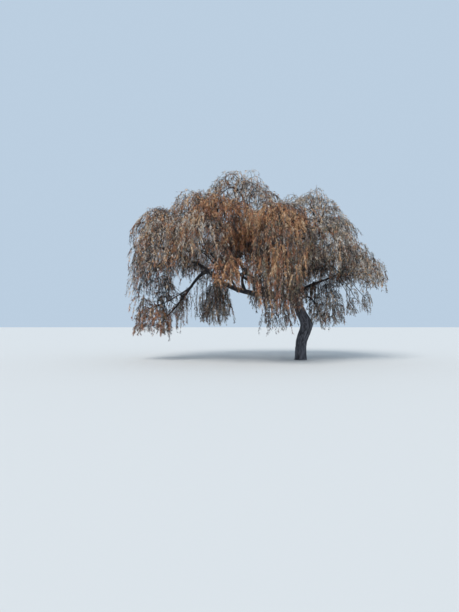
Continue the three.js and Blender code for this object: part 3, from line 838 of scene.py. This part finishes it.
tangent = unit(np.gradient(path, axis=1))
flat = np.cross(first, DOWN)
weak = np.linalg.norm(flat, axis=1) < 0.25
flat[weak] = np.cross(gen.normal(0, 1, (int(weak.sum()), 3)), DOWN)
flat = unit(flat)[:, None, :] * np.ones((1, K, 1))
flat = unit(flat - tangent * (flat * tangent).sum(2, keepdims=True))
other = np.cross(tangent, flat)
radius = np.linspace(1, 0.35, K)[None] * WITHY_RADIUS * (0.8 + 0.5 * np.clip(length / 2, 0, 1))[:, None]
rings = []
for j in range(3):
    a = 2 * math.pi * j / 3
    rings.append(path + radius[..., None] * (math.cos(a) * flat + math.sin(a) * other))
verts = np.stack(rings, 2).reshape(-1, 3)
idx = np.arange(n * K * 3).reshape(n, K, 3)
quads = []
for k in range(K - 1):
    for j in range(3):
        jj = (j + 1) % 3
        quads.append(np.stack([idx[:, k, j], idx[:, k, jj], idx[:, k + 1, jj], idx[:, k + 1, j]], 1))
quads = np.stack(quads, 1)
caps = np.stack([idx[:, 0, ::-1], idx[:, -1, :]], 1)
withy_pieces = []
for piece, mine in (("withies_left", foot[:, 0] < -2.6), ("withies_right", foot[:, 0] >= -2.6)):
    q, c = quads[mine].reshape(-1, 4), caps[mine].reshape(-1, 3)
    used, again = np.unique(np.concatenate([q.ravel(), c.ravel()]), return_inverse=True)
    withy_pieces.append(new_mesh(
        piece, verts[used], again, np.concatenate([np.arange(len(q)) * 4, len(q) * 4 + np.arange(len(c)) * 3])
    ))
print("withies", n, sum(map(triangles, withy_pieces)), "metres", round(float(length.sum())), round(time.perf_counter() - T0, 1))

# ------------------------------------------------------------------ leaves
gen = np.random.default_rng(333)
weight = length * leafy
each = np.floor(weight / weight.sum() * TOTAL_LEAVES + gen.random(n)).astype(int)
owner = np.repeat(np.arange(n), each)
L = len(owner)
s = np.clip(0.06 + 0.95 * gen.random(L) ** 0.9, 0, 1)
k = np.clip(np.searchsorted(CUTS, s, side="right") - 1, 0, K - 2)
f = (s - CUTS[k]) / (CUTS[k + 1] - CUTS[k])
p0, p1 = path[owner, k], path[owner, k + 1]
at = p0 + (p1 - p0) * f[:, None]
along = unit(p1 - p0)
rand = unit(gen.normal(0, 1, (L, 3)))
side = unit(rand - along * (rand * along).sum(1, keepdims=True))
way = unit(along * 0.8 + side * gen.uniform(0.3, 1.6, L)[:, None] + DOWN * 0.35)
wide = unit(np.cross(way, unit(side + 0.7 * gen.normal(0, 1, (L, 3)))))
face = np.cross(wide, way)
size = LEAF_LENGTH * gen.uniform(0.62, 1.2, L)
half = LEAF_WIDTH / 2 * gen.uniform(0.75, 1.3, L)
droop = gen.uniform(-0.2, 0.5, L)
broad = gen.uniform(0.32, 0.46, L)  # where along it the leaf is broadest


def leaf_point(t, w):
    mid = at + way * (size * t)[:, None] - (face * droop[:, None] - DOWN * 0.14) * (size * t * t)[:, None]
    return mid + wide * (half * w)[:, None]


leaf_verts = np.stack([leaf_point(0 * broad, 0.0), leaf_point(broad, 1.0), leaf_point(broad, -1.0), leaf_point(0 * broad + 1, 0.0)], 1)
fits = (leaf_verts.min(1) > LOW - [0.3, 0.22, 0.0]).all(1) & (leaf_verts.max(1) < HIGH + [0.3, 0.22, 0.22]).all(1)
leaf_verts, owner, s = leaf_verts[fits], owner[fits], s[fits]

# A spray is about 22 cm of one withy, and has one tint. Near sprays are alike, and the high sprays of a withy are
# painted lighter and the low ones darker, the more so the looser its mass: painted light on top and painted shade
# beneath.
SPRAY = 0.22
spray = owner * 8 + np.minimum((s * length[owner] / SPRAY).astype(int), 7)
ids, spray_of = np.unique(spray, return_inverse=True)
carrier_of = ids // 8
part = (ids % 8 + 0.5) * SPRAY / np.maximum(length[carrier_of], SPRAY)
middle = path[carrier_of, 0] + (path[carrier_of, -1] - path[carrier_of, 0]) * np.clip(part, 0, 1)[:, None]
value = 0.5 * noise(middle * [1.3, 1.3, 1.0], 41) + 0.4 * noise(middle * [3.0, 3.0, 1.8], 43)
# Painted light and shade: the loose term makes the sprays lower on a withy darker and the higher ones lighter.
value = value + tone[carrier_of] + 0.85 * loose[carrier_of] * (np.clip(part, 0, 1) - 0.4) + gen.normal(0, 0.18, len(ids))
# Painted shade and painted light: each patch moves the tints of the sprays in it darker or lighter.
for mid, half_width, push in PAINTED_SHADE_AND_LIGHT:
    value = value + push * np.exp(-(((middle - mid) / half_width) ** 2).sum(1) ** 1.5)
names = [t.split("_")[1] for t in TINTS]
tint = np.zeros(len(ids), int)
for key, row in RANGES.items():
    mine = np.where(kind[carrier_of] == key)[0]
    if not len(mine):
        continue
    rank = (np.argsort(np.argsort(value[mine])) + 0.5) / len(mine)
    steps = np.cumsum([c for _, c in row])
    pick = np.searchsorted(steps / steps[-1], rank, side="right").clip(0, len(row) - 1)
    tint[mine] = np.array([names.index(t) for t, _ in row])[pick]
leaf_tint = tint[spray_of]
odd = gen.random(len(leaf_tint)) < 0.16
leaf_tint[odd] = gen.permutation(leaf_tint)[odd]
print("leaves", len(owner), "of", L, "sprays", len(ids), round(time.perf_counter() - T0, 1))

REGIONS = {
    "leaves_top": ["top_left", "top_right", "top_saddle", "shoulder_left"],
    "leaves_left": ["shoulder_far_left", "curtain_far_left", "low_far_left", "strand_left", "curtain_left_front", "curtain_left_back", "tail_left"],
    "leaves_front": ["upper_front", "upper_front_left", "curtain_front_left", "curtain_front", "curtain_front_right", "tail_middle"],
    "leaves_right": ["shoulder_right", "curtain_right_front", "curtain_right", "tip_right", "curtain_right_back", "tail_right", "strand_right", "strand_far_right"],
    "leaves_back": ["upper_back", "upper_back_left", "curtain_back_right", "curtain_back", "curtain_back_left"],
}


def plain(name, colour, rough):
    m = bpy.data.materials.new(name)
    m.use_nodes = True
    b = m.node_tree.nodes["Principled BSDF"]
    b.inputs["Base Color"].default_value = (*colour, 1)
    b.inputs["Roughness"].default_value = rough
    b.inputs["Specular IOR Level"].default_value = 0.3
    return m


leaf_materials = [plain(t, c, 0.62) for t, c in TINTS.items()]
corner = np.array([0, 2, 1, 1, 2, 3])
for region, members in REGIONS.items():
    mine = np.isin(of_mass[owner], members)
    count = int(mine.sum())
    loops = (np.arange(count)[:, None] * 4 + corner[None]).ravel()
    begins = (np.arange(count)[:, None] * 6 + np.array([0, 3])[None]).ravel()
    o = new_mesh(region, leaf_verts[mine].reshape(-1, 3), loops, begins, np.repeat(leaf_tint[mine], 2), smooth=False)
    for m in leaf_materials:
        o.data.materials.append(m)
    print(region, triangles(o))
    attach(o, "root")
    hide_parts(*["foliage_" + x for x in members])


# ------------------------------------------------------------------ bark
def bark_material(name, dark, light, scale, bump):
    m = bpy.data.materials.new(name)
    m.use_nodes = True
    t = m.node_tree
    b = t.nodes["Principled BSDF"]
    b.inputs["Roughness"].default_value = 0.9
    b.inputs["Specular IOR Level"].default_value = 0.25
    place = t.nodes.new("ShaderNodeAttribute")
    place.attribute_name = "limb_place"
    relief = t.nodes.new("ShaderNodeAttribute")
    relief.attribute_name = "relief"
    stretch = t.nodes.new("ShaderNodeMapping")
    stretch.inputs["Scale"].default_value = (scale, scale, scale * 0.22)
    t.links.new(place.outputs["Vector"], stretch.inputs["Vector"])
    grain = t.nodes.new("ShaderNodeTexNoise")
    grain.inputs["Scale"].default_value = 1.0
    grain.inputs["Detail"].default_value = 6.0
    grain.inputs["Roughness"].default_value = 0.62
    t.links.new(stretch.outputs["Vector"], grain.inputs["Vector"])
    patches = t.nodes.new("ShaderNodeTexNoise")
    patches.inputs["Scale"].default_value = 2.3
    patches.inputs["Detail"].default_value = 3.0
    t.links.new(place.outputs["Vector"], patches.inputs["Vector"])
    # The furrows are coloured darker than the ridges, down to near black: partly the bark's own colour, partly painted
    # shade in the furrows.
    up = t.nodes.new("ShaderNodeMapRange")
    up.inputs["From Min"].default_value = -0.8
    up.inputs["From Max"].default_value = 0.9
    t.links.new(relief.outputs["Fac"], up.inputs["Value"])
    add = t.nodes.new("ShaderNodeMath")
    add.operation = "MULTIPLY_ADD"
    add.inputs[1].default_value = 0.6
    t.links.new(grain.outputs["Fac"], add.inputs[0])
    half = t.nodes.new("ShaderNodeMath")
    half.operation = "MULTIPLY"
    half.inputs[1].default_value = 0.55
    t.links.new(up.outputs["Result"], half.inputs[0])
    t.links.new(half.outputs["Value"], add.inputs[2])
    ramp = t.nodes.new("ShaderNodeValToRGB")
    e = ramp.color_ramp.elements
    e[0].position, e[0].color = 0.28, (*dark, 1)
    e[1].position, e[1].color = 0.86, (*light, 1)
    mid = ramp.color_ramp.elements.new(0.55)
    mid.color = (*[0.65 * a + 0.35 * c for a, c in zip(dark, light)], 1)
    t.links.new(add.outputs["Value"], ramp.inputs["Fac"])
    tone = t.nodes.new("ShaderNodeMix")
    tone.data_type = "RGBA"
    tone.inputs["B"].default_value = (0.04, 0.042, 0.03, 1)
    green = t.nodes.new("ShaderNodeMapRange")
    green.inputs["From Min"].default_value = 0.52
    green.inputs["From Max"].default_value = 0.8
    green.inputs["To Max"].default_value = 0.4
    t.links.new(patches.outputs["Fac"], green.inputs["Value"])
    t.links.new(green.outputs["Result"], tone.inputs["Factor"])
    t.links.new(ramp.outputs["Color"], tone.inputs["A"])
    stout = t.nodes.new("ShaderNodeAttribute")
    stout.attribute_name = "stout"
    slim = t.nodes.new("ShaderNodeMapRange")
    slim.inputs["To Min"].default_value = 0.72
    slim.inputs["To Max"].default_value = 0.0
    t.links.new(stout.outputs["Fac"], slim.inputs["Value"])
    darker = t.nodes.new("ShaderNodeMix")
    darker.data_type = "RGBA"
    darker.inputs["B"].default_value = (0.012, 0.0115, 0.013, 1)
    t.links.new(slim.outputs["Result"], darker.inputs["Factor"])
    t.links.new(tone.outputs["Result"], darker.inputs["A"])
    t.links.new(darker.outputs["Result"], b.inputs["Base Color"])
    bumps = t.nodes.new("ShaderNodeBump")
    bumps.inputs["Strength"].default_value = 0.7
    bumps.inputs["Distance"].default_value = bump
    t.links.new(grain.outputs["Fac"], bumps.inputs["Height"])
    t.links.new(bumps.outputs["Normal"], b.inputs["Normal"])
    return m


wood.data.materials.clear()
wood.data.materials.append(bark_material("bark", (0.009, 0.009, 0.012), (0.138, 0.138, 0.158), 26.0, 0.012))
branches.data.materials.append(plain("branch_bark", (0.026, 0.023, 0.023), 0.85))
withy_bark = plain("withy_bark", (0.05, 0.04, 0.032), 0.7)
for o in withy_pieces:
    o.data.materials.append(withy_bark)
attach(wood, "root")
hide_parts("trunk", *["bough_" + x for x in BOUGHS])
for o in (branches, *withy_pieces):
    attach(o, "root")

# ------------------------------------------------------------------ stage
scene = bpy.context.scene
floor = new_mesh(
    "floor", [(-400, -400, -0.001), (400, -400, -0.001), (400, 400, -0.001), (-400, 400, -0.001)],
    [0, 1, 2, 3], [0], smooth=False,
)
floor.data.materials.append(plain("floor_pale", (0.62, 0.62, 0.61), 0.95))

world = bpy.data.worlds.new("soft_sky")
scene.world = world
world.use_nodes = True
back = world.node_tree.nodes["Background"]
back.inputs["Color"].default_value = (0.50, 0.62, 0.75, 1)
back.inputs["Strength"].default_value = 1.0

sun = bpy.data.lights.new("soft_key", "SUN")
sun.energy, sun.angle, sun.color = 2.75, math.radians(34), (1.0, 0.97, 0.93)
sun_at = bpy.data.objects.new("soft_key", sun)
sun_at.rotation_euler = (math.radians(42), 0, math.radians(-28))
scene.collection.objects.link(sun_at)

lens = bpy.data.cameras.new("camera")
lens.lens, lens.sensor_width, lens.clip_end = 36 * 460 / 612, 36, 1000
eye = bpy.data.objects.new("camera", lens)
eye.location = (-3.33, -21.6, 1.6)
eye.rotation_euler = (math.radians(92.43), 0, 0)
scene.collection.objects.link(eye)
scene.camera = eye
scene.view_settings.view_transform = "Standard"

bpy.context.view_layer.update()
print("seconds", round(time.perf_counter() - T0, 1))
